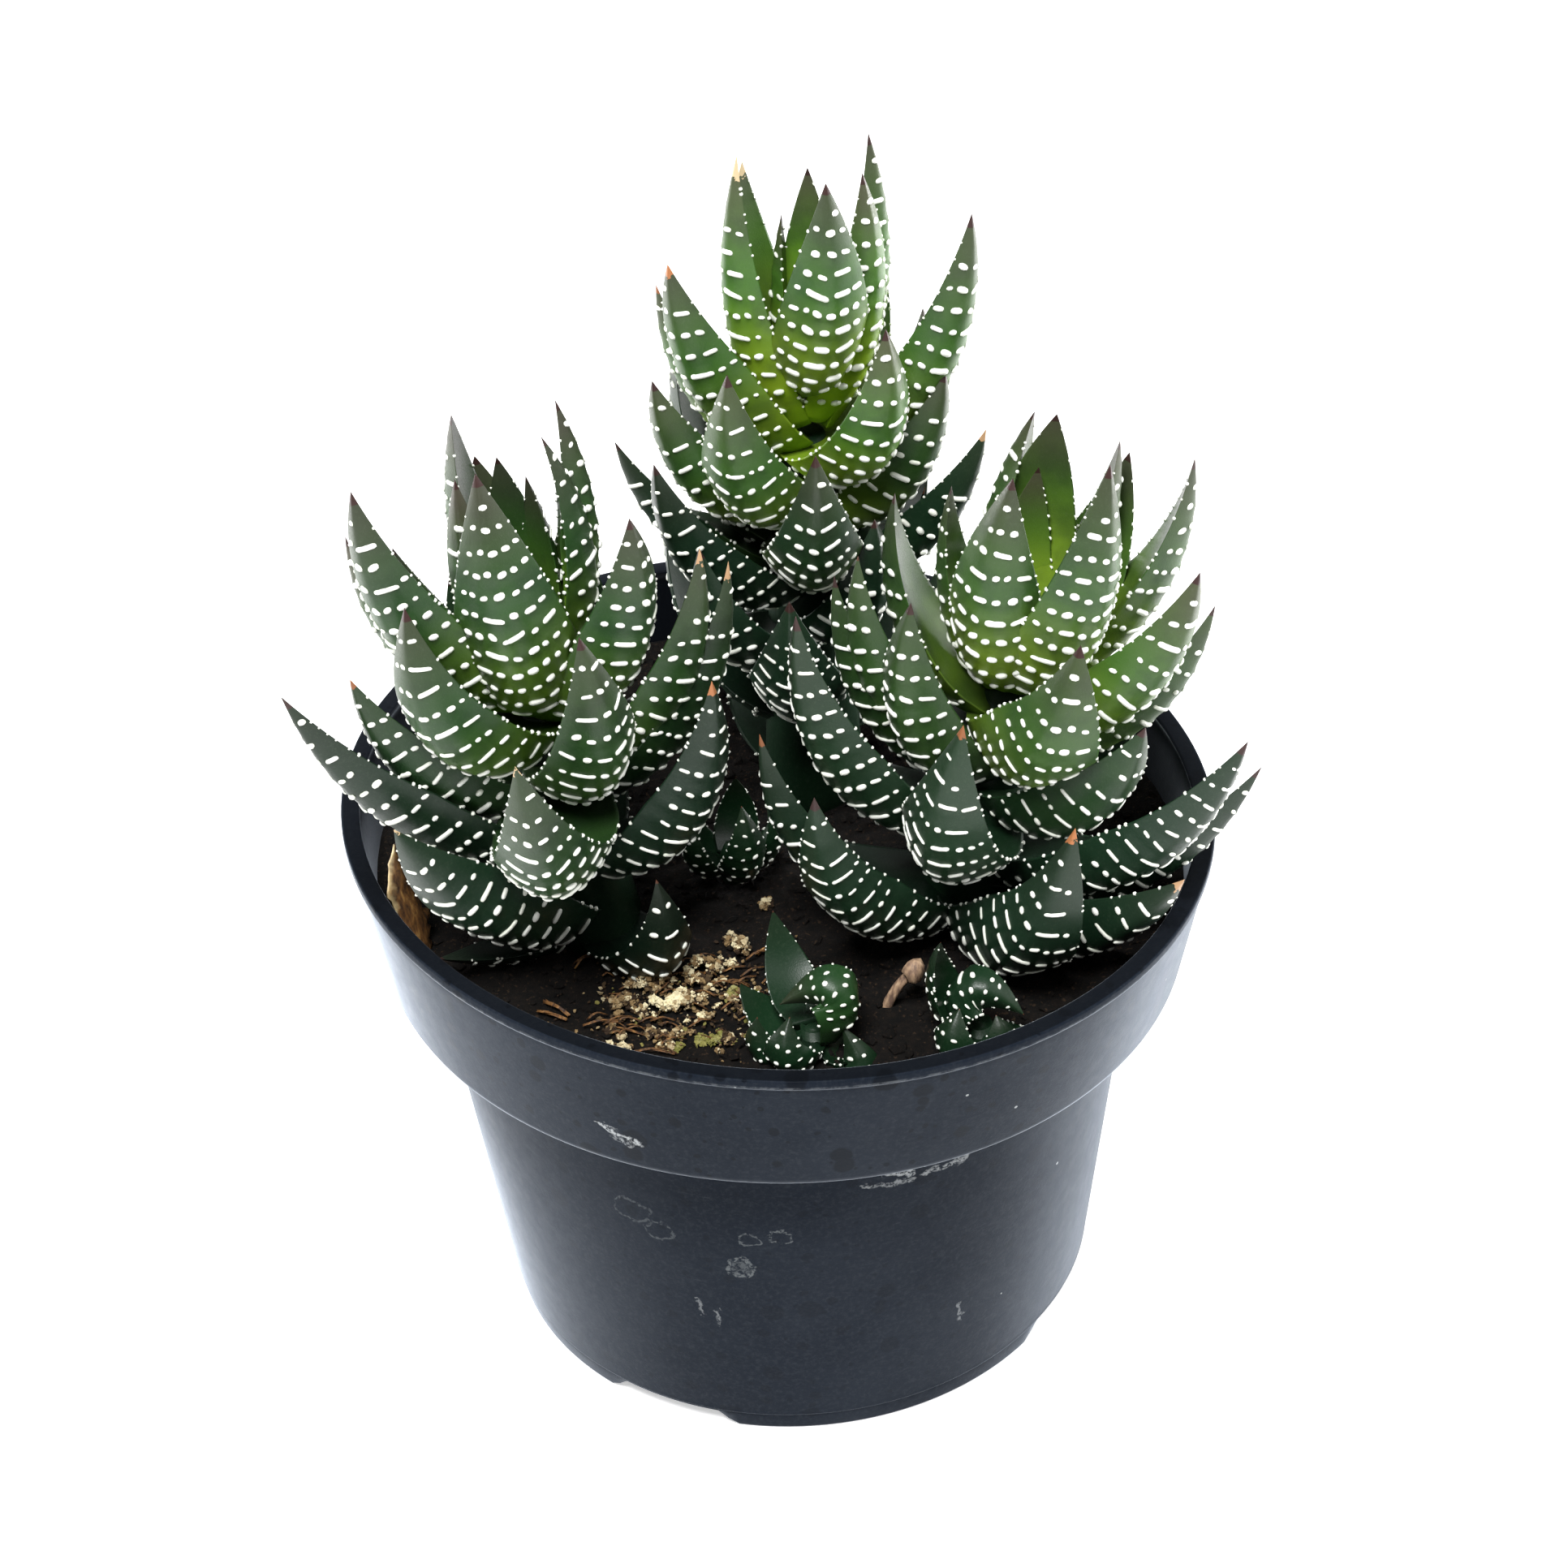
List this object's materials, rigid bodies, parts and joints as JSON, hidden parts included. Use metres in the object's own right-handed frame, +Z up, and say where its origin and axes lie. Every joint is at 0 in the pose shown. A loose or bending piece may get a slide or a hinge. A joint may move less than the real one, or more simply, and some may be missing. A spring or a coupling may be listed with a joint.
{
  "type": "potted haworthia",
  "caption": "Clump of zebra-banded haworthia rosettes with young offsets, growing in soil in a round plastic nursery pot.",
  "frame": {"origin": "middle of the pot's foot, on the surface that it stands on", "axes": "+Z up, -Y towards the front of the pot, +X to the right"},
  "size_m": [0.1161, 0.1102, 0.1606],
  "materials": {
    "pot_plastic": "satin black-grey moulded plastic with water spots",
    "soil": null,
    "leaf_back": null,
    "leaf_left": null,
    "leaf_right": null,
    "leaf_offset": null,
    "moss_crust": null,
    "dry_leaf": null,
    "dry_stub": "dry tan stalk"
  },
  "bodies": {
    "root": {"pot": "pot_plastic", "soil": "soil", "rosette_back": "leaf_back", "rosette_left": "leaf_left", "rosette_right": "leaf_right", "offset_front": "leaf_offset", "offset_right": "leaf_offset", "offset_middle": "leaf_offset", "moss_crust": "moss_crust", "dry_leaf": "dry_leaf", "dry_stub": "dry_stub"}
  },
  "joints": []
}
